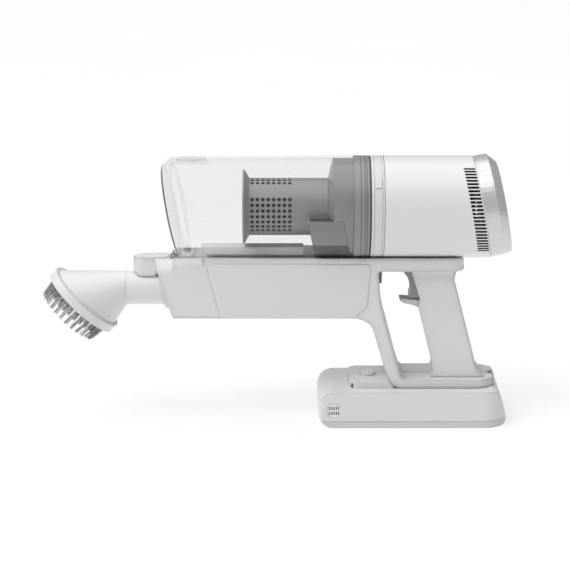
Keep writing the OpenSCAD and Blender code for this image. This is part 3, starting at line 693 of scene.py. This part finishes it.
def lid_moulding():
    dish = bmesh.new()
    outer, inner = [], []

    def ring(depth, radius, drop, store):
        made = bmesh.ops.create_circle(dish, cap_ends=False, segments=96, radius=radius,
                                       matrix=Matrix.Translation((drop, 0.0, depth)))
        store.append(made["verts"])

    ring(0.0, face_radius - face_chamfer, face_drop, outer)
    ring(face_depth, face_radius, face_drop, outer)
    ring(bead_depth, bead_radius, face_drop, outer)
    for step in range(1, skirt_steps + 1):
        share = step / skirt_steps
        swell = math.sin(share * math.pi / 2)
        ring(bead_depth + (lid_depth - bead_depth) * share,
             bead_radius + (mouth_radius - bead_radius) * swell, face_drop * (1 - swell), outer)
    ring(lid_depth, mouth_inside, 0.0, inner)
    for share in (0.6, 0.2, 0.0):
        swell = math.sin(share * math.pi / 2)
        ring(face_wall + inside_depth * share,
             face_inside + (mouth_inside - face_inside) * swell, face_drop * (1 - swell), inner)
    rings = outer + inner
    for near, far in zip(rings, rings[1:]):
        edges = [e for e in dish.edges if (e.verts[0] in near and e.verts[1] in near)
                 or (e.verts[0] in far and e.verts[1] in far)]
        bmesh.ops.bridge_loops(dish, edges=edges)
    for end in (outer[0], inner[-1]):
        edges = [e for e in dish.edges if e.verts[0] in end and e.verts[1] in end]
        bmesh.ops.contextual_create(dish, geom=edges)
    # the bead's faces take the second material, its painted shade
    shaded_bead = set(outer[1]) | set(outer[2])
    for face in dish.faces:
        if len(face.verts) == 4 and all(v in shaded_bead for v in face.verts):
            face.material_index = 1
    # the dish's own Z runs back along the drum, its X up
    turn = Matrix(((0.0, 0.0, 1.0), (0.0, -1.0, 0.0), (1.0, 0.0, 0.0))).to_4x4()
    placed = Matrix.Translation((lid_front, 0.0, drum_axis_z)) @ Matrix.Rotation(-lid_lean, 4, "Y")
    bmesh.ops.transform(dish, verts=dish.verts[:], matrix=placed @ turn)
    for side in (-1, 1):
        section = bmesh.ops.create_grid(
            dish, x_segments=1, y_segments=1, size=0.5,
            matrix=Matrix.Translation(
                hinge_pin + Vector(((knuckle_bore + knuckle_rim) / 2, side * knuckle_side, 0.0)))
            @ Matrix.Diagonal((knuckle_rim - knuckle_bore, knuckle_width, 1.0, 1.0)))["verts"]
        faces = [f for f in dish.faces if all(v in section for v in f.verts)]
        bmesh.ops.delete(dish, geom=faces, context="FACES_ONLY")
        edges = [e for e in dish.edges if e.verts[0] in section and e.verts[1] in section]
        bmesh.ops.spin(dish, geom=section + edges, cent=hinge_pin, axis=(0, 1, 0),
                       dvec=(0, 0, 0), angle=2 * math.pi, steps=24, use_merge=True)
        bmesh.ops.create_cube(dish, size=1.0, matrix=Matrix.Translation(
            hinge_pin + Vector((arm_start + arm_length / 2, side * knuckle_side, 0.0)))
            @ Matrix.Diagonal((arm_length, knuckle_width, arm_height, 1.0)))
    bmesh.ops.recalc_face_normals(dish, faces=dish.faces[:])
    piece = make_piece("lid_moulding", dish, bin_clear, rim_painted_shade())
    for face in piece.data.polygons:
        face.use_smooth = len(face.vertices) == 4
    piece.data.set_sharp_from_angle(angle=math.radians(50))
    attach(piece, "lid")
    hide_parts("bin_lid")


lid_moulding()
dress(pin_steel, "lid_pin")
dress(clear_plastic("seal_silicone", 0.975, 0.02, 0.2, grey=0.6), "lid_seal")
dress(clear_plastic("latch_clear", 0.96, 0.03, 0.45, grey=0.65), "lid_latch")


# ---------------------------------------------------------------------------
# Battery: a moulded case with a raised tongue over a shallow tray, a white
# vent grille on each side, six wrapped cells and their board inside.
# ---------------------------------------------------------------------------
grille_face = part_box("vent_grilles")[1].y
grille_x, grille_z = -0.074, 0.0173
# black discs behind the grilles, painted shade for the vents' dark inside
shade_disc_radius = 0.0061
shade_disc_thickness = 0.0001
shade_disc_depth = 0.00064


def grille_plastic():
    """White face; the walls of its slots carry painted shade, near black."""
    finish = Finish("grille_plastic")
    place = finish.node("ShaderNodeTexCoord", output="Object")
    dust = finish.node("ShaderNodeTexNoise", values={
        "Vector": place, "Scale": 300.0, "Detail": 4.0}, output="Fac")
    across = finish.node("ShaderNodeSeparateXYZ", values={"Vector": place}, output="Y")
    clear_of_shade = finish.node("ShaderNodeMapRange", values={
        "Value": (across * across) ** 0.5, "From Min": grille_face - 0.0004,
        "From Max": grille_face - 0.0002}, output="Result")
    # painted shade: near black on the slot walls, just inside the grille's face
    shade = finish.node("ShaderNodeMix", {"data_type": "RGBA"}, {
        "Factor": clear_of_shade, "A": plain_grey(0.01), "B": plain_grey(0.86)})
    return finish.close(finish.node("ShaderNodeBsdfPrincipled", values={
        "Base Color": shade, "Roughness": dust * 0.2 + 0.3}))


def vent_shade_disc():
    """A black disc behind each grille's slots, painted shade for the dark inside."""
    disc = bmesh.new()
    for side in (-1, 1):
        bmesh.ops.create_cone(
            disc, cap_ends=True, segments=48, radius1=shade_disc_radius, radius2=shade_disc_radius,
            depth=shade_disc_thickness,
            matrix=Matrix.Translation((grille_x, side * (grille_face - shade_disc_depth), grille_z))
            @ Matrix.Rotation(math.pi / 2, 4, "X"))
    piece = make_piece("vent_shade_disc", disc, pleated_felt("vent_shade_black", 0.008))
    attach(piece, "battery")


def cell_wrap():
    finish = Finish("cell_wrap")
    place = finish.node("ShaderNodeTexCoord", output="Object")
    crinkle = finish.node("ShaderNodeTexNoise", values={
        "Vector": place, "Scale": 220.0, "Detail": 5.0}, output="Fac")
    shade = finish.node("ShaderNodeMix", {"data_type": "RGBA"}, {
        "Factor": crinkle, "A": (0.02, 0.09, 0.26, 1.0), "B": (0.04, 0.15, 0.36, 1.0)})
    surface = finish.node("ShaderNodeBump", values={
        "Height": crinkle, "Strength": 0.3, "Distance": 0.0002})
    return finish.close(finish.node("ShaderNodeBsdfPrincipled", values={
        "Base Color": shade, "Roughness": crinkle * 0.1 + 0.2, "Normal": surface}))


dress(moulded_plastic("battery_white", 0.72, 0.45, edge=0.003), "battery_case")
dress(moulded_plastic("tray_white", 0.62, 0.45, edge=0.001), "battery_tray")
dress(grille_plastic(), "vent_grilles")
vent_shade_disc()
dress(cell_wrap(), "battery_cells")
dress(turned_steel("link_nickel", 0.68, 0.25), "cell_links")
dress(board_green, "battery_board")
dress(black_plastic, "battery_socket", "charge_jack")
